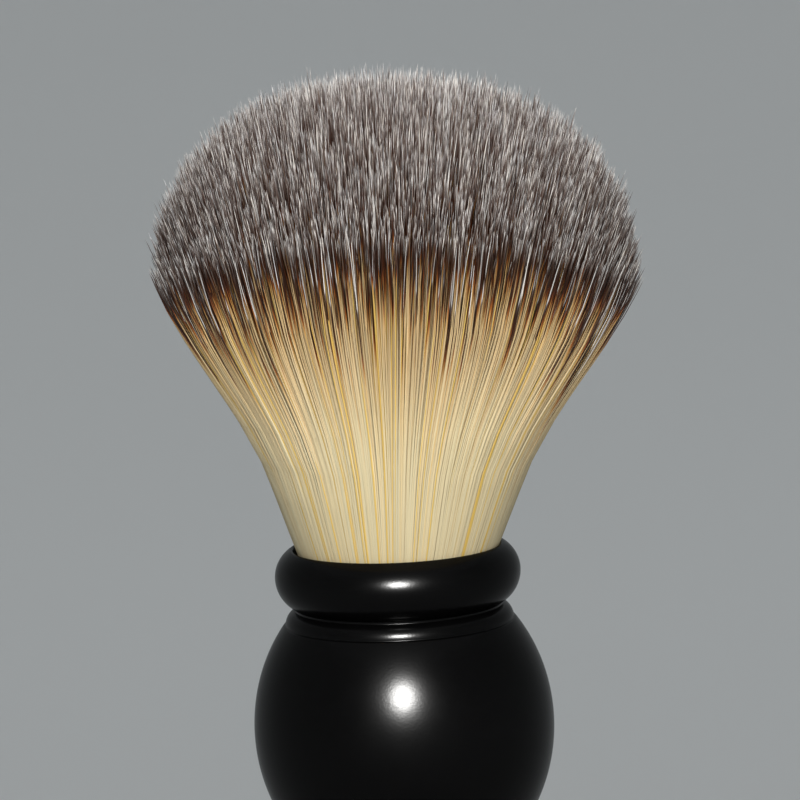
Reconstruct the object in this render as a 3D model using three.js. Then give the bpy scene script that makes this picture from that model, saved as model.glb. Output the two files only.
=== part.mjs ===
// A shaving brush standing on its foot: a turned handle with a bead, a groove and a small ring
// above a ball, and a fan knot of bristles glued into the socket in the handle's mouth.
// Millimetres, +Z up the brush. The origin is the centre of the foot's underside.
import * as THREE from 'three';

// ---- driving dimensions -------------------------------------------------------------------------
const CLEARANCE = 0.3;            // between any two pieces that meet

const HANDLE_HEIGHT = 55;         // from the foot to the mouth's rim
const FOOT_RADIUS = 15.8;
const FOOT_EDGE = 2;              // radius of the round edge of the foot's flange
const WAIST_RADIUS = 9.9;
const WAIST_HEIGHT = 16.4;
const BALL_RADIUS = 16.9;
const BALL_HALF_HEIGHT = 18.7;
const BALL_CENTRE = HANDLE_HEIGHT - 20.6;
const BALL_BOTTOM_RADIUS = 10.8;  // where the ball meets the waist
const BALL_TOP_RADIUS = 13.1;     // where the ball meets the small ring above it
const RING_RADIUS = 12.85;
const RING_SECTION = 1.8;         // radius of the ring's quarter-round section
const RING_CENTRE = HANDLE_HEIGHT - 8.7;
const GROOVE_RADIUS = 11.7;
const BEAD_SECTION = 3.6;         // radius of the bead's round section
const BEAD_UNDERSIDE = 3.8;       // half height of the bead below its widest line
const BEAD_RADIUS = 13.8;
const BEAD_CENTRE = HANDLE_HEIGHT - 3.3;
const LIP_RADIUS = 12;            // outer edge of the rim around the socket

const SOCKET_RADIUS = 10.4;
const SOCKET_DEPTH = 18;
const MOUTH_RADIUS = 11.7;        // the socket's flared mouth
const MOUTH_FLARE = 6;            // how far down the flare reaches
const ADHESIVE_WALL = 0.5;
const ADHESIVE_HEIGHT = 8.4;
const PLUG_WALL = 0.7;
const PLUG_FLOOR = 2.8;
const THREAD_DIAMETER = 0.8;
const THREAD_TURNS = 6;

const PAD_RADIUS = 12.7;
const PAD_THICKNESS = 1.2;        // it stands proud of the foot by CLEARANCE
const CAP_RADIUS = 11.7;
const CAP_THICKNESS = 3;
const WEIGHT_RADIUS = 7.7;
const WEIGHT_LENGTH = 13.9;
const WEIGHT_CHAMFER = 0.8;

const KNOT_MOUTH_RADIUS = 11.6;   // the bristles where they leave the mouth
const KNOT_RADIUS = 27.2;         // at the widest line
const KNOT_SHOULDER = 33;         // height of the widest line above the mouth
const KNOT_LOFT = 53.6;           // height of the knot's crown above the mouth
const DOME_POWER = 2.1;           // 2 is an ellipse, more is squarer
const ROOT_SPHERE = 15;           // round joint faces about the centre of the mouth, where the
const BEND_SPHERE = 24;           // bristles are divided into the root, lower and upper lengths

const TURNED_SIDES = 40;
const KNOT_SIDES = 36;
const CURVE_STEPS = 6;

// ---- materials ----------------------------------------------------------------------------------
function material(color, roughness, metalness = 0) {
  return new THREE.MeshStandardMaterial({ color, roughness, metalness });
}

const blackLacquer = material(0x101112, 0.28);
const resin = material(0xb9a45f, 0.35);
const adhesive = material(0xd9d3bd, 0.4);
const thread = material(0xcfc6ae, 0.9);
const steel = material(0xa9adb0, 0.35, 1);
const capPlastic = material(0x17181a, 0.55);
const padRubber = material(0x242526, 0.9);
const bristleCream = material(0xd8c28e, 0.7);
const bristleBand = material(0x8a5c34, 0.7);
const bristleTips = material(0x9a928c, 0.75);

// ---- shared helpers -----------------------------------------------------------------------------
// Turns an outline of (radius, height) points about the Z axis. The outline starts and ends on the
// axis, or closes on itself, and keeps the solid on its left.
function turned(name, outline, sides, look) {
  const mesh = new THREE.Mesh(new THREE.LatheGeometry(outline, sides), look);
  mesh.name = name;
  mesh.rotation.x = Math.PI / 2;
  return mesh;
}

function outlineOf(pairs) {
  return pairs.map(([radius, height]) => new THREE.Vector2(radius, height));
}

// Height above an ellipse's centre where it has the given radius.
function ellipseHeight(radius, halfWidth, halfHeight) {
  return halfHeight * Math.sqrt(1 - (radius / halfWidth) ** 2);
}

// Points of a cup: a floor, a wall, and an open top.
function cupOutline(outer, inner, bottom, floor, top) {
  return outlineOf([[0, bottom], [outer, bottom], [outer, top], [inner, top], [inner, floor], [0, floor]]);
}

// ---- handle -------------------------------------------------------------------------------------
const padSeat = PAD_THICKNESS + CLEARANCE;
const capSeat = padSeat + CAP_THICKNESS + CLEARANCE;
const weightSeat = capSeat + WEIGHT_LENGTH + CLEARANCE;
const socketFloor = HANDLE_HEIGHT - SOCKET_DEPTH;

function drawBaseRecess(path) {
  path.moveTo(0, weightSeat);
  path.lineTo(WEIGHT_RADIUS + CLEARANCE, weightSeat);
  path.lineTo(WEIGHT_RADIUS + CLEARANCE, capSeat);
  path.lineTo(CAP_RADIUS + CLEARANCE, capSeat);
  path.lineTo(CAP_RADIUS + CLEARANCE, padSeat);
  path.lineTo(PAD_RADIUS + CLEARANCE, padSeat);
  path.lineTo(PAD_RADIUS + CLEARANCE, CLEARANCE);
}

// The foot's flange has a half-round edge, and flares down from the waist in one hollow curve.
function drawFootAndWaist(path) {
  const ring = FOOT_RADIUS - FOOT_EDGE;
  const flangeTop = CLEARANCE + 2 * FOOT_EDGE;
  path.absarc(ring, CLEARANCE + FOOT_EDGE, FOOT_EDGE, -Math.PI / 2, Math.PI / 2);
  path.bezierCurveTo(ring - 2, flangeTop + 0.6, WAIST_RADIUS, flangeTop + 4, WAIST_RADIUS, WAIST_HEIGHT);
}

function drawBall(path) {
  const lower = ellipseHeight(BALL_BOTTOM_RADIUS, BALL_RADIUS, BALL_HALF_HEIGHT);
  const upper = ellipseHeight(BALL_TOP_RADIUS, BALL_RADIUS, BALL_HALF_HEIGHT);
  const start = -Math.asin(lower / BALL_HALF_HEIGHT);
  const end = Math.asin(upper / BALL_HALF_HEIGHT);
  path.quadraticCurveTo(WAIST_RADIUS, BALL_CENTRE - lower - 1.4, BALL_BOTTOM_RADIUS, BALL_CENTRE - lower);
  path.absellipse(0, BALL_CENTRE, BALL_RADIUS, BALL_HALF_HEIGHT, start, end, false, 0);
}

// A quarter-round ring that ends in the groove's floor.
function drawRing(path) {
  const middle = RING_RADIUS - RING_SECTION;
  path.lineTo(RING_RADIUS, RING_CENTRE);
  path.absarc(middle, RING_CENTRE, RING_SECTION, 0, Math.acos((GROOVE_RADIUS - middle) / RING_SECTION));
}

function drawGrooveAndBead(path) {
  const middle = BEAD_RADIUS - BEAD_SECTION;
  const start = -Math.acos((GROOVE_RADIUS - middle) / BEAD_SECTION);
  const end = Math.acos((LIP_RADIUS - middle) / BEAD_SECTION);
  path.lineTo(GROOVE_RADIUS, BEAD_CENTRE + BEAD_UNDERSIDE * Math.sin(start));
  path.absellipse(middle, BEAD_CENTRE, BEAD_SECTION, BEAD_UNDERSIDE, start, 0, false, 0);
  path.absarc(middle, BEAD_CENTRE, BEAD_SECTION, 0, end);
}

// The socket flares towards its mouth, as the bristles spread there.
function drawSocket(path) {
  const flareBottom = HANDLE_HEIGHT - MOUTH_FLARE;
  path.lineTo(MOUTH_RADIUS, path.currentPoint.y);
  path.quadraticCurveTo(SOCKET_RADIUS, HANDLE_HEIGHT - MOUTH_FLARE / 2, SOCKET_RADIUS, flareBottom);
  path.lineTo(SOCKET_RADIUS, socketFloor);
  path.lineTo(0, socketFloor);
}

function handleBody() {
  const path = new THREE.Path();
  drawBaseRecess(path);
  drawFootAndWaist(path);
  drawBall(path);
  drawRing(path);
  drawGrooveAndBead(path);
  drawSocket(path);
  return turned('handle_body', path.getPoints(CURVE_STEPS), TURNED_SIDES, blackLacquer);
}

// ---- what the foot holds ------------------------------------------------------------------------
function balanceWeight() {
  const bottom = capSeat;
  const top = bottom + WEIGHT_LENGTH;
  const inner = WEIGHT_RADIUS - WEIGHT_CHAMFER;
  const outline = outlineOf([
    [0, bottom], [inner, bottom], [WEIGHT_RADIUS, bottom + WEIGHT_CHAMFER],
    [WEIGHT_RADIUS, top - WEIGHT_CHAMFER], [inner, top], [0, top],
  ]);
  return turned('balance_weight', outline, KNOT_SIDES, steel);
}

// The cap has a shallow dished underside, which leaves room for the pad's adhesive.
function baseCap() {
  const dishRadius = CAP_RADIUS - 2.5;
  const dishDepth = 0.8;
  const top = padSeat + CAP_THICKNESS;
  const outline = outlineOf([
    [0, padSeat + dishDepth], [dishRadius, padSeat + dishDepth], [dishRadius, padSeat],
    [CAP_RADIUS, padSeat], [CAP_RADIUS, top], [0, top],
  ]);
  return turned('base_cap', outline, KNOT_SIDES, capPlastic);
}

function footPad() {
  const outline = outlineOf([[0, 0], [PAD_RADIUS, 0], [PAD_RADIUS, PAD_THICKNESS], [0, PAD_THICKNESS]]);
  return turned('foot_pad', outline, KNOT_SIDES, padRubber);
}

// ---- what the socket holds ----------------------------------------------------------------------
const adhesiveOuter = SOCKET_RADIUS - CLEARANCE;
const adhesiveBottom = socketFloor + CLEARANCE;
const plugOuter = adhesiveOuter - ADHESIVE_WALL - CLEARANCE;
const plugBottom = adhesiveBottom + ADHESIVE_WALL + CLEARANCE;
const plugInner = plugOuter - PLUG_WALL;
const plugFloor = plugBottom + PLUG_FLOOR;
const plugTop = adhesiveBottom + ADHESIVE_HEIGHT;
const bindingBottom = plugTop + CLEARANCE;
const bindingTop = bindingBottom + THREAD_TURNS * THREAD_DIAMETER;
const boundRadius = plugInner - CLEARANCE;

function socketAdhesive() {
  const inner = adhesiveOuter - ADHESIVE_WALL;
  const floor = adhesiveBottom + ADHESIVE_WALL;
  const outline = cupOutline(adhesiveOuter, inner, adhesiveBottom, floor, plugTop);
  return turned('socket_adhesive', outline, KNOT_SIDES, adhesive);
}

function knotPlug() {
  const outline = cupOutline(plugOuter, plugInner, plugBottom, plugFloor, plugTop);
  return turned('knot_plug', outline, KNOT_SIDES, resin);
}

// Thread wound tightly around the bristles: each turn bulges outward.
function knotBinding() {
  const inner = boundRadius + CLEARANCE;
  const path = new THREE.Path();
  path.moveTo(inner, bindingBottom);
  path.lineTo(inner + THREAD_DIAMETER / 2, bindingBottom);
  for (let turn = 0; turn < THREAD_TURNS; turn += 1) {
    const middle = bindingBottom + (turn + 0.5) * THREAD_DIAMETER;
    path.absarc(inner + THREAD_DIAMETER / 2, middle, THREAD_DIAMETER / 2, -Math.PI / 2, Math.PI / 2);
  }
  path.lineTo(inner, bindingTop);
  path.closePath();
  return turned('knot_binding', path.getPoints(2), KNOT_SIDES, thread);
}

// ---- bristles -----------------------------------------------------------------------------------
// Heights on the knot's own outline are above the mouth.
const flank = new THREE.CubicBezierCurve(
  new THREE.Vector2(KNOT_MOUTH_RADIUS, 0),
  new THREE.Vector2(16, 10),
  new THREE.Vector2(25, 25.5),
  new THREE.Vector2(KNOT_RADIUS, KNOT_SHOULDER),
);

// The place along the flank that is this far from the centre of the mouth.
function flankPlace(distance) {
  let low = 0;
  let high = 1;
  for (let step = 0; step < 40; step += 1) {
    const middle = (low + high) / 2;
    if (flank.getPoint(middle).length() < distance) low = middle;
    else high = middle;
  }
  return (low + high) / 2;
}

function flankPoints(from, to) {
  const points = [];
  for (let step = 0; step <= CURVE_STEPS; step += 1) {
    points.push(flank.getPoint(from + (to - from) * step / CURVE_STEPS));
  }
  return points;
}

// A round face about the centre of the mouth, from the axis out to the flank.
function spherePoints(distance, place) {
  const widest = Math.asin(flank.getPoint(place).x / distance);
  const points = [];
  for (let step = 0; step <= CURVE_STEPS; step += 1) {
    const angle = widest * step / CURVE_STEPS;
    points.push(new THREE.Vector2(distance * Math.sin(angle), distance * Math.cos(angle)));
  }
  return points;
}

// The crown, from the shoulder in to the axis.
function domePoints() {
  const steps = 2 * CURVE_STEPS;
  const height = KNOT_LOFT - KNOT_SHOULDER;
  const points = [];
  for (let step = 1; step <= steps; step += 1) {
    const angle = Math.PI / 2 * step / steps;
    const radius = step === steps ? 0 : KNOT_RADIUS * Math.cos(angle) ** (2 / DOME_POWER);
    points.push(new THREE.Vector2(radius, KNOT_SHOULDER + height * Math.sin(angle) ** (2 / DOME_POWER)));
  }
  return points;
}

function aboveMouth(points) {
  return points.map((point) => new THREE.Vector2(point.x, point.y + HANDLE_HEIGHT));
}

function bristleRoot() {
  const top = ROOT_SPHERE - CLEARANCE / 2;
  const place = flankPlace(top);
  const inSocket = outlineOf([
    [0, plugFloor + CLEARANCE], [boundRadius, plugFloor + CLEARANCE], [boundRadius, bindingTop],
    [MOUTH_RADIUS - CLEARANCE, HANDLE_HEIGHT],
  ]);
  const outside = [...flankPoints(0.05, place), ...spherePoints(top, place).reverse().slice(1)];
  return turned('bristle_root', [...inSocket, ...aboveMouth(outside)], KNOT_SIDES, bristleCream);
}

function bristleLower() {
  const bottom = ROOT_SPHERE + CLEARANCE / 2;
  const top = BEND_SPHERE - CLEARANCE / 2;
  const from = flankPlace(bottom);
  const to = flankPlace(top);
  const outline = [
    ...spherePoints(bottom, from), ...flankPoints(from, to).slice(1), ...spherePoints(top, to).reverse().slice(1),
  ];
  return turned('bristle_lower', aboveMouth(outline), KNOT_SIDES, bristleBand);
}

function bristleUpper() {
  const bottom = BEND_SPHERE + CLEARANCE / 2;
  const from = flankPlace(bottom);
  const outline = [...spherePoints(bottom, from), ...flankPoints(from, 1).slice(1), ...domePoints()];
  return turned('bristle_upper', aboveMouth(outline), KNOT_SIDES, bristleTips);
}

// ---- the brush ----------------------------------------------------------------------------------
const brush = new THREE.Group();
brush.add(handleBody(), balanceWeight(), baseCap(), footPad());
brush.add(socketAdhesive(), knotPlug(), knotBinding());
brush.add(bristleRoot(), bristleLower(), bristleUpper());

export default brush;
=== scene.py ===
"""A shaving brush: a turned black handle and a knot of twenty-eight thousand bristles."""
import math

import bpy
import numpy as np
from mathutils import Matrix, Vector


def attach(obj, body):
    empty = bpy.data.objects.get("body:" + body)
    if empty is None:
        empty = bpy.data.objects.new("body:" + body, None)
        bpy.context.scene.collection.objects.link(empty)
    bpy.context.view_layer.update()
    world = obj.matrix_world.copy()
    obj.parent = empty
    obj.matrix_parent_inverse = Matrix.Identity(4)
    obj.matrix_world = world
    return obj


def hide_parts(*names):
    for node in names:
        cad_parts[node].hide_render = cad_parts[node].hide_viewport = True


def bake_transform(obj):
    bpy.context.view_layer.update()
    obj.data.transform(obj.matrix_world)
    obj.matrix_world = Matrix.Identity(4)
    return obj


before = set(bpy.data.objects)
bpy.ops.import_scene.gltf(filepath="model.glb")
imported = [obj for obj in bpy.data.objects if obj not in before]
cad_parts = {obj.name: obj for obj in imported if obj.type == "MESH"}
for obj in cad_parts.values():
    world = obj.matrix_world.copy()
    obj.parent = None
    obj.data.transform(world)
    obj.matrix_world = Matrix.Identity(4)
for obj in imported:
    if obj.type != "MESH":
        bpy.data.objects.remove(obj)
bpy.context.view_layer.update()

MM = 0.001
RANDOM = np.random.default_rng(24)

# ---- the handle's dimensions, in millimetres, heights above the foot's underside ----------------
MOUTH = 55.0
CLEARANCE = 0.3
FOOT_RADIUS = 15.8
FOOT_EDGE = 2.0
WAIST_RADIUS = 9.9
WAIST_HEIGHT = 16.4
BALL_RADIUS = 16.9
BALL_HALF_HEIGHT = 18.7
BALL_CENTRE = MOUTH - 20.6
BALL_BOTTOM_RADIUS = 10.8
BALL_TOP_RADIUS = 13.1
RING_RADIUS = 12.85
RING_SECTION = 1.8
RING_CENTRE = MOUTH - 8.7
GROOVE_RADIUS = 11.7
BEAD_SECTION = 3.6
BEAD_UNDERSIDE = 3.8
BEAD_RADIUS = 13.8
BEAD_CENTRE = MOUTH - 3.3
LIP_RADIUS = 12.0
SOCKET_RADIUS = 10.4
SOCKET_FLOOR = MOUTH - 18.0
MOUTH_RADIUS = 11.7
MOUTH_FLARE = 6.0
PAD_RADIUS = 12.7
PAD_THICKNESS = 1.2
PAD_SEAT = 1.5
GRIP_RINGS = (4.0, 7.0, 10.0)
GRIP_WIDTH = 1.0
GRIP_DEPTH = 0.2
CAP_RADIUS = 11.7
CAP_SEAT = 4.8
WEIGHT_RADIUS = 7.7
WEIGHT_SEAT = 19.0
BOUND_RADIUS = 8.3
BUTT_HEIGHT = 41.2
BINDING_TOP = 50.8
BUTTS_END = MOUTH - 1.8
BUTTS_INSET = 1.1              # of the butts from the bundle's outside at the mouth

# ---- the knot's dimensions, heights above the mouth ---------------------------------------------
BRISTLES = 28000
BRISTLE_RADIUS = 0.074
THICKNESS_RANGE = (0.82, 1.2)  # of single bristles, as shares of that radius
BRISTLE_START = -2.6
BUNDLE_RADIUS = 11.45          # of the bundle at the mouth
FLANK_SLOPE = 0.38             # how fast the bundle widens above the mouth
SWELL = 4.0                    # and how much more it widens between these two heights
SWELL_START = 8.0
SWELL_END = 29.0
DEPTH_LOSS = 0.11              # how much less it widens from front to back than across
SHOULDER = 31.0
DOME_RADIUS = 26.9
LOFT = 53.8
DOME_POWER = 2.28
TIP_SPREAD = 2.4               # how far below the crown the shorter bristles end,
EVEN_RIM = 0.65                # and how much less far at the rim, as a share
UNEVENNESS = 0.6               # of the tips of neighbouring bristles
START_JITTER = 0.004           # of a bristle's place in the bundle, as a share of its radius
TURN_JITTER = 0.006            # and in radians about the knot's axis
SHORT_SHARE = 0.03             # of the bristles end well below the others,
SHORTFALL = (0.5, 4.0)         # by this much
STRAY = 0.45                   # how far a bristle's tip strays from its own line,
STRAND = 0.16                  # how far it is drawn together with a few neighbours,
CLUMP = 0.44                   # and with a whole clump of them
WILD_SHARE = 0.02              # of the bristles at the knot's middle stray further,
WILD_STRAY = 0.9               # by about this much
FLICK = 0.65                   # how far a bristle's end turns aside
STRAY_GROWTH = 1.8             # powers that say how late along the bristle straying and flick come
FLICK_GROWTH = 7
KNOT_TILT = math.radians(2.4)  # the knot stands a little askew in the handle
BEND_HEIGHT = 14.0             # where the lower and the upper lengths meet
UPPER_LAYERS = 7               # meshes that the upper lengths are shared out over
LOWER_LAYERS = 4
SURFACE_SHADING = 0.8          # how far a bristle is shaded as a part of the knot's outside,
SHADING_REACH = 26.0           # at this distance below the shoulder and beyond,
TIP_SHADING = 0.55             # and at its tip

# Each bristle has a column of the "OFBake" map to itself: across it lies the bristle's kind, and up
# it the distance from the tip.
COLUMNS = 64
MAP_SPAN = 60.0                # millimetres of bristle from the top of the map to its bottom
MIDDLE_SCALE = 0.8             # at the knot's middle the pale tips and bands are that much longer
YELLOW_COLUMNS = 5             # the first columns are yellow bristles,
PALE_COLUMNS = 5               # the next have only a faint band,
LONG_BAND_COLUMNS = 12         # and the next have a band that reaches far down


# ---- small mesh helpers -------------------------------------------------------------------------
def add_object(name, mesh):
    piece = bpy.data.objects.new(name, mesh)
    bpy.context.scene.collection.objects.link(piece)
    return piece


def arc(centre_r, centre_z, half_width, half_height, start, end, steps):
    """Points of an ellipse's arc, angles in radians from the outward direction."""
    angles = np.linspace(start, end, steps)
    return [(centre_r + half_width * math.cos(a), centre_z + half_height * math.sin(a)) for a in angles]


def bezier(points, steps):
    """Points of a Bezier curve of any degree, without its first point."""
    result = []
    degree = len(points) - 1
    for t in np.linspace(0, 1, steps + 1)[1:]:
        weights = [math.comb(degree, i) * t**i * (1 - t) ** (degree - i) for i in range(degree + 1)]
        result.append(tuple(sum(w * p[axis] for w, p in zip(weights, points)) for axis in (0, 1)))
    return result


def softened(outline, edge, sharper_than=35):
    """Rounds each sharp corner of an outline with a short chamfer arc of about the given size."""
    result = [outline[0]]
    for before, corner, after in zip(outline, outline[1:], outline[2:]):
        back = Vector(before) - Vector(corner)
        on = Vector(after) - Vector(corner)
        turn = 180 - math.degrees(back.angle(on))
        reach = min(edge, back.length * 0.45, on.length * 0.45)
        if turn < sharper_than:
            result.append(corner)
            continue
        first = Vector(corner) + back.normalized() * reach
        last = Vector(corner) + on.normalized() * reach
        result += [tuple(first)] + bezier([tuple(first), corner, tuple(last)], 4)
    return result + [outline[-1]]


def turned(name, outline, sides=192):
    """A closed solid turned about the Z axis, from an outline that starts and ends on the axis."""
    rings = np.array(outline[1:-1]) * MM
    angles = np.linspace(0, 2 * math.pi, sides, endpoint=False)
    x = rings[:, :1] * np.cos(angles)
    y = rings[:, :1] * np.sin(angles)
    z = np.repeat(rings[:, 1:], sides, axis=1)
    body = np.stack([x, y, z], axis=-1).reshape(-1, 3)
    ends = np.array([[0, 0, outline[0][1] * MM], [0, 0, outline[-1][1] * MM]])
    low, high = len(body), len(body) + 1
    faces = []
    for ring in range(len(rings) - 1):
        for side in range(sides):
            a = ring * sides + side
            b = ring * sides + (side + 1) % sides
            faces.append((a, b, b + sides, a + sides))
    last = (len(rings) - 1) * sides
    for side in range(sides):
        after = (side + 1) % sides
        faces.append((low, after, side))
        faces.append((high, last + side, last + after))
    mesh = bpy.data.meshes.new(name)
    mesh.from_pydata(np.vstack([body, ends]).tolist(), [], faces)
    mesh.polygons.foreach_set("use_smooth", [True] * len(mesh.polygons))
    mesh.update()
    mesh.set_sharp_from_angle(angle=math.radians(40))
    return add_object(name, mesh)


# ---- materials ----------------------------------------------------------------------------------
class Graph:
    """A short way to write a material's nodes."""

    def __init__(self, name):
        self.material = bpy.data.materials.new(name)
        self.material.use_nodes = True
        self.tree = self.material.node_tree
        self.shader = self.tree.nodes["Principled BSDF"]

    def node(self, kind, **settings):
        made = self.tree.nodes.new(kind)
        for key, value in settings.items():
            setattr(made, key, value)
        return made

    def join(self, source, target):
        self.tree.links.new(source, target)

    def feed(self, target, value):
        if isinstance(value, bpy.types.NodeSocket):
            self.join(value, target)
        else:
            target.default_value = value

    def math(self, operation, a, b=0.0):
        made = self.node("ShaderNodeMath", operation=operation)
        self.feed(made.inputs[0], a)
        self.feed(made.inputs[1], b)
        return made.outputs[0]

    def mix(self, factor, a, b, blend="MIX"):
        made = self.node("ShaderNodeMix", data_type="RGBA", blend_type=blend)
        self.feed(made.inputs["Factor"], factor)
        self.feed(made.inputs[6], a)
        self.feed(made.inputs[7], b)
        return made.outputs[2]

    def noise(self, scale, detail, roughness=0.5):
        """Noise through the piece, so many to the metre."""
        made = self.node("ShaderNodeTexNoise")
        made.inputs["Scale"].default_value = scale
        made.inputs["Detail"].default_value = detail
        made.inputs["Roughness"].default_value = roughness
        place = self.node("ShaderNodeTexCoord").outputs["Object"]
        self.join(place, made.inputs["Vector"])
        return made.outputs["Fac"]

    def span(self, value, low, high, to_low, to_high):
        made = self.node("ShaderNodeMapRange")
        self.join(value, made.inputs["Value"])
        made.inputs["From Min"].default_value = low
        made.inputs["From Max"].default_value = high
        made.inputs["To Min"].default_value = to_low
        made.inputs["To Max"].default_value = to_high
        return made.outputs["Result"]

    def ramp(self, value, stops):
        made = self.node("ShaderNodeValToRGB")
        elements = made.color_ramp.elements
        while len(elements) > 1:
            elements.remove(elements[-1])
        elements[0].position = stops[0][0]
        elements[0].color = (*stops[0][1], 1)
        for position, colour in stops[1:]:
            elements.new(position).color = (*colour, 1)
        self.join(value, made.inputs["Fac"])
        return made.outputs["Color"]

    def bump(self, height, strength, distance):
        made = self.node("ShaderNodeBump")
        made.inputs["Strength"].default_value = strength
        made.inputs["Distance"].default_value = distance
        self.join(height, made.inputs["Height"])
        self.join(made.outputs["Normal"], self.shader.inputs["Normal"])


def lacquer_material():
    """Satin black lacquer: an even black with the fine dimples of a sprayed coat and slightly
    duller patches where it has been handled. Its gloss fades towards glancing angles."""
    g = Graph("black_lacquer")
    dimples = g.noise(3600, 2.0, roughness=0.6)
    patches = g.noise(90, 4.0)
    tint = g.mix(patches, (0.00015, 0.00015, 0.00016, 1), (0.0004, 0.0004, 0.00042, 1))
    g.join(tint, g.shader.inputs["Base Color"])
    g.join(g.span(patches, 0.3, 0.7, 0.19, 0.25), g.shader.inputs["Roughness"])
    glance = g.node("ShaderNodeLayerWeight").outputs["Facing"]
    g.join(g.span(glance, 0.2, 1.0, 0.095, 0.004), g.shader.inputs["Specular IOR Level"])
    g.bump(dimples, 0.2, 0.00003)
    return g.material


# Colours along a bristle, from its tip down. The places are shares of COLOUR_SPAN.
# The palest stop at the very tip, in both bands, is partly the bristles' own pale tips and partly
# painted light: a painted glow, as of light through the thin tips, that brightens the knot's rim.
COLOUR_SPAN = 24.0
BAND = [
    (0.0, (0.88, 0.86, 0.83)),
    (0.014, (0.52, 0.49, 0.47)),
    (0.026, (0.195, 0.165, 0.153)),
    (0.045, (0.118, 0.086, 0.073)),
    (0.064, (0.062, 0.031, 0.02)),
    (0.09, (0.038, 0.014, 0.006)),
    (0.22, (0.06, 0.016, 0.005)),
    (0.255, (0.17, 0.041, 0.007)),
    (0.29, (0.34, 0.11, 0.019)),
    (0.335, (0.52, 0.285, 0.092)),
    (0.405, (0.61, 0.44, 0.215)),
    (0.6, (0.63, 0.485, 0.27)),
    (1.0, (0.655, 0.56, 0.345)),
]
FAINT_BAND = [
    (0.0, (0.88, 0.86, 0.83)),
    (0.03, (0.18, 0.162, 0.152)),
    (0.08, (0.14, 0.10, 0.075)),
    (0.20, (0.22, 0.115, 0.05)),
    (0.31, (0.50, 0.36, 0.19)),
    (0.6, (0.63, 0.485, 0.27)),
    (1.0, (0.655, 0.56, 0.345)),
]
YELLOW = (0.68, 0.47, 0.12, 1)
BAND_SHIFT = (-3.9, 3.7)       # how far a bristle's band may lie from its usual place,
LONG_BAND_SHIFT = 4.3          # and how much farther down a long band lies
SHIFT_START = (1.0, 5.0)       # the shift grows in between these distances from the tip
CREAM_START = (6.5, 10.0)      # and the cream between these
COOL = (0.95, 0.98, 1.03, 1)
WARM = (1.04, 0.99, 0.94, 1)
TIP_SHADES = (0.44, 1.12)      # darkest and palest bristle above the cream
ROOT_SHADES = (0.97, 1.02)     # and in it


def read_map(g):
    """A bristle's column in the map, and the distance from its tip."""
    uv = g.node("ShaderNodeUVMap", uv_map="OFBake")
    parts = g.node("ShaderNodeSeparateXYZ")
    g.join(uv.outputs["UV"], parts.inputs[0])
    column = g.math("FLOOR", g.math("MULTIPLY", parts.outputs[0], COLUMNS))
    from_tip = g.math("MULTIPLY", g.math("SUBTRACT", 1.0, parts.outputs[1]), MAP_SPAN)
    return column, from_tip


def bristle_chances(g, column):
    """Three random numbers for each column: its shade, its tone and its band's place."""
    chance = g.node("ShaderNodeTexWhiteNoise", noise_dimensions="1D")
    g.join(g.math("ADD", column, 0.37), chance.inputs["W"])
    draws = g.node("ShaderNodeSeparateColor")
    g.join(chance.outputs["Color"], draws.inputs[0])
    return draws.outputs[0], draws.outputs[1], draws.outputs[2]


def bristle_kinds(g, column):
    """Masks of the yellow, the pale and the long-banded bristles."""
    pale_end = YELLOW_COLUMNS + PALE_COLUMNS
    up_to_yellow = g.math("LESS_THAN", column, YELLOW_COLUMNS - 0.5)
    up_to_pale = g.math("LESS_THAN", column, pale_end - 0.5)
    up_to_long = g.math("LESS_THAN", column, pale_end + LONG_BAND_COLUMNS - 0.5)
    pale = g.math("SUBTRACT", up_to_pale, up_to_yellow)
    return up_to_yellow, pale, g.math("SUBTRACT", up_to_long, up_to_pale)


def bristle_material():
    """Cream at the root, an amber to near-black band, and pale grey tips. Every column of the
    map is a different bristle."""
    g = Graph("bristle")
    column, from_tip = read_map(g)
    shade, tone, shift = bristle_chances(g, column)
    yellow, pale, long_band = bristle_kinds(g, column)

    shifted = g.math("SUBTRACT", g.span(shift, 0, 1, *BAND_SHIFT),
                     g.math("MULTIPLY", long_band, LONG_BAND_SHIFT))
    grown = g.span(from_tip, *SHIFT_START, 0.1, 1.0)
    place = g.math("ADD", from_tip, g.math("MULTIPLY", shifted, grown))
    along = g.math("DIVIDE", place, COLOUR_SPAN)
    in_cream = g.span(place, *CREAM_START, 0.0, 1.0)
    colour = g.mix(pale, g.ramp(along, BAND), g.ramp(along, FAINT_BAND))
    colour = g.mix(g.math("MULTIPLY", yellow, in_cream), colour, YELLOW)
    colour = g.mix(1.0, colour, g.mix(tone, COOL, WARM), "MULTIPLY")

    at_tip = g.span(shade, 0, 1, *TIP_SHADES)
    at_root = g.span(shade, 0, 1, *ROOT_SHADES)
    level = g.math("ADD", g.math("MULTIPLY", at_root, in_cream),
                   g.math("MULTIPLY", at_tip, g.math("SUBTRACT", 1.0, in_cream)))
    brightness = g.node("ShaderNodeCombineColor")
    for channel in range(3):
        g.join(level, brightness.inputs[channel])
    colour = g.mix(1.0, colour, brightness.outputs[0], "MULTIPLY")
    g.join(colour, g.shader.inputs["Base Color"])
    g.shader.inputs["Roughness"].default_value = 0.48
    g.shader.inputs["Specular IOR Level"].default_value = 0.35
    return g.material


def plain_material(name, colour, other, roughness, metallic, grain):
    """A colour that wanders a little between two, with a fine grain pressed into it."""
    g = Graph(name)
    wander = g.noise(220, 3.0)
    g.join(g.mix(wander, (*colour, 1), (*other, 1)), g.shader.inputs["Base Color"])
    g.join(g.span(wander, 0.3, 0.7, roughness - 0.05, roughness + 0.05), g.shader.inputs["Roughness"])
    g.shader.inputs["Metallic"].default_value = metallic
    g.bump(g.noise(grain, 2.0), 0.4, 0.00005)
    return g.material


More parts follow.
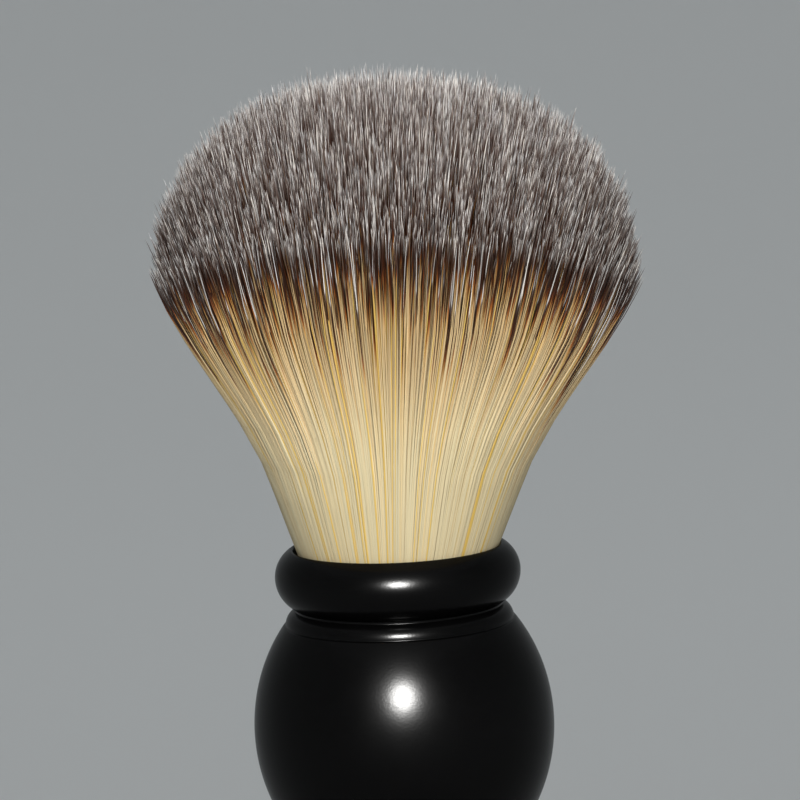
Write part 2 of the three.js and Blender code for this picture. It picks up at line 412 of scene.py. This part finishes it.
def rubber_material():
    return plain_material("pad_rubber", (0.012, 0.012, 0.013), (0.02, 0.02, 0.021),
                          roughness=0.75, metallic=0.0, grain=2600)


def cap_material():
    return plain_material("cap_plastic", (0.010, 0.010, 0.011), (0.016, 0.016, 0.017),
                          roughness=0.5, metallic=0.0, grain=1800)


def steel_material():
    return plain_material("weight_steel", (0.42, 0.43, 0.44), (0.5, 0.5, 0.51),
                          roughness=0.35, metallic=1.0, grain=3000)


def adhesive_material():
    return plain_material("adhesive", (0.62, 0.58, 0.45), (0.7, 0.66, 0.54),
                          roughness=0.35, metallic=0.0, grain=900)


def resin_material():
    return plain_material("plug_resin", (0.45, 0.34, 0.14), (0.55, 0.43, 0.2),
                          roughness=0.3, metallic=0.0, grain=900)


def thread_material():
    return plain_material("binding_thread", (0.58, 0.52, 0.4), (0.66, 0.6, 0.48),
                          roughness=0.85, metallic=0.0, grain=4000)


# ---- the handle and what is in it ---------------------------------------------------------------
def handle_outline():
    """From the weight's cavity out round the pad's recess, up the outside to the lip, and down
    into the socket."""
    ball_low = BALL_HALF_HEIGHT * math.sqrt(1 - (BALL_BOTTOM_RADIUS / BALL_RADIUS) ** 2)
    ball_high = BALL_HALF_HEIGHT * math.sqrt(1 - (BALL_TOP_RADIUS / BALL_RADIUS) ** 2)
    foot_ring = FOOT_RADIUS - FOOT_EDGE
    flange_top = CLEARANCE + 2 * FOOT_EDGE
    bead_ring = BEAD_RADIUS - BEAD_SECTION
    bead_start = -math.acos((GROOVE_RADIUS - bead_ring) / BEAD_SECTION)
    bead_end = math.acos((LIP_RADIUS - bead_ring) / BEAD_SECTION)
    ball_start = -math.asin(ball_low / BALL_HALF_HEIGHT)
    ball_end = math.asin(ball_high / BALL_HALF_HEIGHT)
    bead_top = BEAD_CENTRE + BEAD_SECTION * math.sin(bead_end)

    outline = [(0, WEIGHT_SEAT), (WEIGHT_RADIUS + CLEARANCE, WEIGHT_SEAT)]
    outline += [(WEIGHT_RADIUS + CLEARANCE, CAP_SEAT), (CAP_RADIUS + CLEARANCE, CAP_SEAT)]
    outline += [(CAP_RADIUS + CLEARANCE, PAD_SEAT), (PAD_RADIUS + CLEARANCE, PAD_SEAT)]
    outline += [(PAD_RADIUS + CLEARANCE, CLEARANCE)]
    outline += arc(foot_ring, CLEARANCE + FOOT_EDGE, FOOT_EDGE, FOOT_EDGE, -math.pi / 2, math.pi / 2, 25)
    shallow, steep = (foot_ring - 2, flange_top + 0.6), (WAIST_RADIUS, flange_top + 4)
    outline += bezier([(foot_ring, flange_top), shallow, steep, (WAIST_RADIUS, WAIST_HEIGHT)], 28)
    under_ball = (BALL_BOTTOM_RADIUS, BALL_CENTRE - ball_low)
    outline += bezier([(WAIST_RADIUS, WAIST_HEIGHT), (WAIST_RADIUS, under_ball[1] - 1.4), under_ball], 8)
    outline += arc(0, BALL_CENTRE, BALL_RADIUS, BALL_HALF_HEIGHT, ball_start, ball_end, 64)[1:]
    ring_middle = RING_RADIUS - RING_SECTION
    ring_end = math.acos((GROOVE_RADIUS - ring_middle) / RING_SECTION)
    outline += arc(ring_middle, RING_CENTRE, RING_SECTION, RING_SECTION, 0, ring_end, 20)
    outline += arc(bead_ring, BEAD_CENTRE, BEAD_SECTION, BEAD_UNDERSIDE, bead_start, 0, 24)
    outline += arc(bead_ring, BEAD_CENTRE, BEAD_SECTION, BEAD_SECTION, 0, bead_end, 24)[1:]
    outline += [(MOUTH_RADIUS, bead_top)]
    flare = [(MOUTH_RADIUS, bead_top), (SOCKET_RADIUS, MOUTH - MOUTH_FLARE / 2)]
    outline += bezier(flare + [(SOCKET_RADIUS, MOUTH - MOUTH_FLARE)], 8)
    outline += [(SOCKET_RADIUS, SOCKET_FLOOR), (0, SOCKET_FLOOR)]
    return softened(outline, edge=0.18)


def build_handle(lacquer):
    handle = turned("handle", handle_outline())
    handle.data.materials.append(lacquer)
    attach(handle, "handle")
    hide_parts("handle_body")


def build_foot_pad(rubber):
    """The pad has a soft edge and three shallow gripping rings pressed into its underside."""
    outline = [(0, 0)]
    half, floor = GRIP_WIDTH / 2, GRIP_WIDTH / 4
    for ring in GRIP_RINGS:
        outline += [(ring - half, 0), (ring - floor, GRIP_DEPTH)]
        outline += [(ring + floor, GRIP_DEPTH), (ring + half, 0)]
    outline += [(PAD_RADIUS, 0), (PAD_RADIUS, PAD_THICKNESS), (0, PAD_THICKNESS)]
    pad = turned("foot_pad_moulded", softened(outline, edge=0.3))
    pad.data.materials.append(rubber)
    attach(pad, "handle")
    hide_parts("foot_pad")


def build_butts(bristle):
    """The bound bundle inside the socket, below the mouth, where no bristle can be told apart."""
    outline = [(0, BUTT_HEIGHT), (BOUND_RADIUS, BUTT_HEIGHT), (BOUND_RADIUS, BINDING_TOP)]
    outline += [(BUNDLE_RADIUS - BUTTS_INSET, BUTTS_END), (0, BUTTS_END)]
    butts = turned("bristle_butts", softened(outline, edge=0.4), sides=96)
    butts.data.materials.append(bristle)
    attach(butts, "handle")
    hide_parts("bristle_root")


def dress_cad_nodes(looks):
    """Gives the CAD nodes that stay as they are their materials."""
    for node, look in looks.items():
        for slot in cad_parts[node].material_slots:
            slot.material = look


# ---- the bristles -------------------------------------------------------------------------------
def bundle_radius(height):
    """The outside of the bundle at a height above the mouth."""
    share = np.clip((height - SWELL_START) / (SWELL_END - SWELL_START), 0, 1)
    return BUNDLE_RADIUS + FLANK_SLOPE * height + SWELL * share**2 * (3 - 2 * share)


def crown_height(share):
    """How high a bristle that starts at this share of the bundle's radius reaches: where its own
    line meets the dome. Found by halving."""
    low = np.full_like(share, SHOULDER - 3.0)
    high = np.full_like(share, LOFT)
    for _ in range(30):
        middle = (low + high) / 2
        up = np.clip((middle - SHOULDER) / (LOFT - SHOULDER), 0, 1)
        dome = DOME_RADIUS * (1 - up**DOME_POWER) ** (1 / DOME_POWER)
        inside = share * bundle_radius(middle) < dome
        low = np.where(inside, middle, low)
        high = np.where(inside, high, middle)
    return (low + high) / 2


def random_waves(count, shortest, longest):
    """Length, direction and phase of some waves across the knot."""
    lengths = RANDOM.uniform(shortest, longest, count)
    turns = RANDOM.uniform(0, math.pi, count)
    return list(zip(lengths, turns, RANDOM.uniform(0, 2 * math.pi, count)))


def drift(points, waves, reach):
    """A smooth wandering of neighbouring tips, which bunches them and leaves gaps. It is weaker
    across each wave than along it."""
    moved = np.zeros_like(points)
    for length, turn, phase in waves:
        direction = np.array([math.cos(turn), math.sin(turn)])
        along = points @ direction * (2 * math.pi / length) + phase
        moved += np.sin(along)[:, None] * np.array([-direction[1], direction[0]]) * 0.6
        moved += np.cos(along)[:, None] * direction
    return moved * reach / math.sqrt(len(waves))


def plan_bristles():
    """The whole knot: where each bristle starts, leans and ends, how thick it is and which kind."""
    index = np.arange(BRISTLES)
    golden = math.pi * (3 - math.sqrt(5))
    share = np.sqrt((index + 0.5) / BRISTLES)
    angle = index * golden + RANDOM.normal(0, TURN_JITTER, BRISTLES)
    share = np.clip(share + RANDOM.normal(0, START_JITTER, BRISTLES), 0.002, 0.998)
    direction = np.stack([np.cos(angle), np.sin(angle)], axis=1)
    reach = share * np.hypot(direction[:, 0], direction[:, 1] * (1 - DEPTH_LOSS))
    crown = crown_height(reach)
    crown_place = direction * (share * bundle_radius(crown))[:, None]
    tip = crown - TIP_SPREAD * (1 - EVEN_RIM * share**3) * np.sqrt(RANDOM.random(BRISTLES))
    short = RANDOM.random(BRISTLES) < SHORT_SHARE
    tip -= np.where(short, RANDOM.uniform(*SHORTFALL, BRISTLES), 0)
    tip += drift(crown_place, random_waves(10, shortest=1.0, longest=3.5), UNEVENNESS)[:, 0]
    stray = RANDOM.uniform(-STRAY, STRAY, (BRISTLES, 2))
    stray += drift(crown_place, random_waves(12, shortest=0.5, longest=1.1), STRAND)
    stray += drift(crown_place, random_waves(8, shortest=2.0, longest=6.0), CLUMP)
    wild = RANDOM.random(BRISTLES) < WILD_SHARE * (1 - share)
    stray += np.where(wild[:, None], RANDOM.normal(0, WILD_STRAY, (BRISTLES, 2)), 0)
    return {
        "share": share, "direction": direction, "tip": tip, "stray": stray,
        "flick": RANDOM.uniform(-FLICK, FLICK, (BRISTLES, 2)),
        "thickness": BRISTLE_RADIUS * RANDOM.uniform(*THICKNESS_RANGE, BRISTLES),
        "kind": RANDOM.integers(0, COLUMNS, BRISTLES),
        "spin": RANDOM.uniform(0, 2 * math.pi, BRISTLES),
    }


def centres(knot, which, height):
    """Centre of each bristle at its own height above the mouth."""
    flat = knot["direction"][which] * (knot["share"][which] * bundle_radius(height))[:, None]
    flat[:, 1] *= 1 - DEPTH_LOSS * np.clip(height / SHOULDER, 0, 1)
    grown = np.clip(height / knot["tip"][which], 0, 1)[:, None]
    aside = knot["stray"][which] * grown**STRAY_GROWTH + knot["flick"][which] * grown**FLICK_GROWTH
    return flat + aside


def ring_corners(knot, which, height):
    """Middle of each bristle at a height, and the ways out to its three corners, square to its run."""
    middle = centres(knot, which, height)
    run = centres(knot, which, height + 0.5) - centres(knot, which, height - 0.5)
    along = np.column_stack([run, np.ones(len(run))])
    along /= np.linalg.norm(along, axis=1)[:, None]
    across = np.array([1.0, 0, 0]) - along * along[:, :1]
    across /= np.linalg.norm(across, axis=1)[:, None]
    other = np.cross(along, across)
    turn = (knot["spin"][which][:, None] + np.arange(3) * 2 * math.pi / 3)[:, :, None]
    outward = np.cos(turn) * across[:, None] + np.sin(turn) * other[:, None]
    return np.column_stack([middle, height])[:, None], outward


def knot_normals(points):
    """The way the knot's outside faces near each point: up over the dome, and nearly level below
    the shoulder."""
    above = points[..., 2] - SHOULDER
    facing = points * (1, 1, 0)
    facing[..., 2] = np.where(above > 0, 1.3 * above, 0.15 * above)
    return facing / np.linalg.norm(facing, axis=-1, keepdims=True)


def length_points(knot, which, heights, taper, pointed):
    """Corners of each bristle's rings, and its tip last if it has one, with the way each faces."""
    count, rings = heights.shape
    points = np.zeros((count, rings * 3 + pointed, 3))
    normals = np.zeros_like(points)
    for ring in range(rings):
        at = slice(ring * 3, ring * 3 + 3)
        middle, outward = ring_corners(knot, which, heights[:, ring])
        points[:, at] = middle + outward * (knot["thickness"][which] * taper[ring])[:, None, None]
        normals[:, at] = outward
    if pointed:
        tip = knot["tip"][which]
        points[:, -1] = np.column_stack([centres(knot, which, tip), tip])
    surface = SURFACE_SHADING * np.clip((SHOULDER - points[..., 2:]) / SHADING_REACH, 0, 1)
    if pointed:
        surface[:, -4:] = TIP_SHADING
    normals = (1 - surface) * normals + surface * knot_normals(points)
    tilt = np.array(Matrix.Rotation(KNOT_TILT, 3, "Y"))
    return (points @ tilt.T + (0, 0, MOUTH)) * MM, normals @ tilt.T


def length_faces(rings, pointed):
    """Corners of one bristle's faces: four for each side, then three for each end face."""
    faces = [
        (r * 3 + s, r * 3 + (s + 1) % 3, r * 3 + 3 + (s + 1) % 3, r * 3 + 3 + s)
        for r in range(rings - 1) for s in range(3)
    ]
    top = (rings - 1) * 3
    faces.append((2, 1, 0))
    if pointed:
        faces += [(top + s, top + (s + 1) % 3, top + 3) for s in range(3)]
    else:
        faces.append((top, top + 1, top + 2))
    return faces


def build_length(name, knot, which, heights, taper, pointed):
    """One mesh of three-sided bristles. heights has a row for each bristle and a column for each
    ring, taper a value for each ring, and a pointed length ends in one vertex."""
    count, rings = heights.shape
    points, normals = length_points(knot, which, heights, taper, pointed)
    faces = length_faces(rings, pointed)
    pattern = np.concatenate(faces)
    start = (np.arange(count) * points.shape[1])[:, None]
    loops = (start + pattern).ravel()
    sizes = np.tile([len(face) for face in faces], count)

    mesh = bpy.data.meshes.new(name)
    mesh.vertices.add(count * points.shape[1])
    mesh.vertices.foreach_set("co", points.ravel())
    mesh.loops.add(len(loops))
    mesh.loops.foreach_set("vertex_index", loops)
    mesh.polygons.add(len(sizes))
    mesh.polygons.foreach_set("loop_start", np.cumsum(sizes) - sizes)
    mesh.polygons.foreach_set("use_smooth", np.ones(len(sizes), bool))
    mesh.update(calc_edges=True)
    add_map(mesh, knot, which, heights, pattern, pointed)
    mesh.normals_split_custom_set_from_vertices(normals.reshape(-1, 3))
    return add_object(name, mesh)


def add_map(mesh, knot, which, heights, pattern, pointed):
    """Lays each bristle in the middle half of its kind's column."""
    rings = heights.shape[1]
    corner = pattern % 3
    ring = np.minimum(pattern // 3, rings - 1)
    across = (knot["kind"][which][:, None] + 0.25 + 0.25 * corner) / COLUMNS
    height = heights[:, ring]
    if pointed:
        at_tip = pattern == rings * 3
        height = np.where(at_tip, knot["tip"][which][:, None], height)
    share = knot["share"][which][:, None]
    scale = np.hypot(1, share * FLANK_SLOPE) * (MIDDLE_SCALE + (1 - MIDDLE_SCALE) * share)
    up = 1 - (knot["tip"][which][:, None] - height) * scale / MAP_SPAN
    layer = mesh.uv_layers.new(name="OFBake")
    layer.data.foreach_set("uv", np.stack([across, np.clip(up, 0, 1)], axis=-1).ravel())


def layer_members(layer, layers):
    """The bristles of one mesh. The first mesh has the knot's middle and the last its outside."""
    edges = np.linspace(0, BRISTLES, layers + 1).astype(int)
    return np.arange(edges[layer], edges[layer + 1])


def build_lower_lengths(knot, bristle):
    """The bristles from inside the mouth up to the bend height, a little swollen where they are
    packed in the mouth."""
    steps = np.array([BRISTLE_START, 1.5, 5.5, 9.5, BEND_HEIGHT])
    packed = np.array([1.15, 1.12, 1.06, 1.0, 1.0])
    for layer in range(LOWER_LAYERS):
        which = layer_members(layer, LOWER_LAYERS)
        heights = np.tile(steps, (len(which), 1))
        piece = build_length(f"bristles_lower_{layer + 1}", knot, which, heights, packed,
                             pointed=False)
        piece.data.materials.append(bristle)
        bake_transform(piece)
        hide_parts("bristle_lower")


def build_upper_lengths(knot, bristle):
    """The rest of the bristles, with each one's rings at shares of its own length."""
    shares = np.array([0, 0.14, 0.28, 0.41, 0.54, 0.74, 0.88, 0.97])
    thin = np.array([1, 1, 1, 1, 1, 0.84, 0.64, 0.46])
    for layer in range(UPPER_LAYERS):
        which = layer_members(layer, UPPER_LAYERS)
        rise = knot["tip"][which] - BEND_HEIGHT
        heights = BEND_HEIGHT + rise[:, None] * shares
        piece = build_length(f"bristles_upper_{layer + 1}", knot, which, heights, thin,
                             pointed=True)
        piece.data.materials.append(bristle)
        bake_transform(piece)
        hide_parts("bristle_upper")


# ---- stage, lights and camera -------------------------------------------------------------------
def build_stage():
    """A round pale floor that curves up into a wall on every side."""
    floor_radius, cove, wall = 450.0, 1400.0, 400.0
    outline = [(0, 0), (300, 0), (floor_radius, 0)]
    outline += arc(floor_radius, cove, cove, cove, -math.pi / 2, 0, 16)[1:]
    outline += [(floor_radius + cove, cove + wall), (floor_radius + cove + 5, cove + wall)]
    outline += [(floor_radius + cove + 5, -20), (0, -20)]
    stage = turned("studio_floor", outline[::-1], sides=96)
    stage.data.flip_normals()
    g = Graph("studio_paper")
    paper = g.mix(g.noise(3.0, 2.0), (0.73, 0.74, 0.735, 1), (0.745, 0.755, 0.75, 1))
    g.join(paper, g.shader.inputs["Base Color"])
    g.shader.inputs["Roughness"].default_value = 0.9
    g.shader.inputs["Specular IOR Level"].default_value = 0.2
    stage.data.materials.append(g.material)


def add_softbox(name, place, target, size, power, colour):
    """A round soft light, hidden from the camera."""
    lamp = bpy.data.lights.new(name, "AREA")
    lamp.shape = "DISK"
    lamp.size = size
    lamp.energy = power
    lamp.color = colour
    holder = add_object(name, lamp)
    holder.location = place
    holder.rotation_euler = (Vector(target) - Vector(place)).to_track_quat("-Z", "Y").to_euler()
    holder.visible_camera = False
    return holder


def light_only(holder, pieces):
    """Lets a light fall on these pieces alone."""
    lit = bpy.data.collections.new("lit_by_" + holder.name)
    for piece in pieces:
        lit.objects.link(piece)
    holder.light_linking.receiver_collection = lit


def light_scene():
    """A soft light from the front, separate for the handle and for the rest so that each keeps its
    own highlight, one behind the knot for its pale rim, and one overhead for the whole room."""
    pieces = [piece for piece in bpy.context.scene.objects if piece.type == "MESH"]
    handle = [piece for piece in pieces if piece.name == "handle"]
    others = [piece for piece in pieces if piece.name not in ("handle", "studio_floor")]
    warm = (1.0, 0.985, 0.96)
    aim = (0, 0, 0.07)
    key = add_softbox("key", (0.012, -0.42, 0.222), aim, size=0.3, power=2.5, colour=warm)
    light_only(key, others)
    handle_key = add_softbox("handle_key", (0, -0.42, 0.222), aim, size=0.13, power=12.5,
                             colour=(1.0, 0.99, 0.97))
    light_only(handle_key, handle)
    top = add_softbox("top", (0, 0.24, 0.55), (0, 0, 0.1), size=0.6, power=5.2, colour=warm)
    light_only(top, others)
    add_softbox("overhead", (0, 0.1, 1.3), (0, 0, 0.085), size=1.2, power=3, colour=(0.97, 0.985, 1.0))
    world = bpy.data.worlds.new("studio")
    world.use_nodes = True
    background = world.node_tree.nodes["Background"]
    background.inputs["Color"].default_value = (0.93, 0.97, 1.0, 1)
    background.inputs["Strength"].default_value = 0.37
    bpy.context.scene.world = world


def place_camera():
    """A long lens, level with the knot and looking slightly down, turned a little about its own
    axis because the brush leans to the left in its picture."""
    distance, pitch, roll = 0.46, math.radians(7.4), math.radians(2.5)
    width_seen = 0.0893
    target = Vector((0.0011, 0, 0.0712))
    camera_data = bpy.data.cameras.new("camera")
    camera_data.sensor_width = 36
    camera_data.lens = 36 * distance / width_seen
    camera_data.clip_start = 0.01
    camera = add_object("camera", camera_data)
    back = Vector((0, -math.cos(pitch), math.sin(pitch)))
    turn = (-back).to_track_quat("-Z", "Y").to_matrix().to_4x4() @ Matrix.Rotation(-roll, 4, "Z")
    camera.matrix_world = Matrix.Translation(target + back * distance) @ turn
    bpy.context.scene.camera = camera
    bpy.context.scene.view_settings.view_transform = "Standard"


# ---- the brush ----------------------------------------------------------------------------------
place_camera()
build_handle(lacquer_material())
build_foot_pad(rubber_material())
dress_cad_nodes({
    "base_cap": cap_material(),
    "balance_weight": steel_material(),
    "socket_adhesive": adhesive_material(),
    "knot_plug": resin_material(),
    "knot_binding": thread_material(),
})
bristle = bristle_material()
build_butts(bristle)
knot = plan_bristles()
build_lower_lengths(knot, bristle)
build_upper_lengths(knot, bristle)
build_stage()
light_scene()
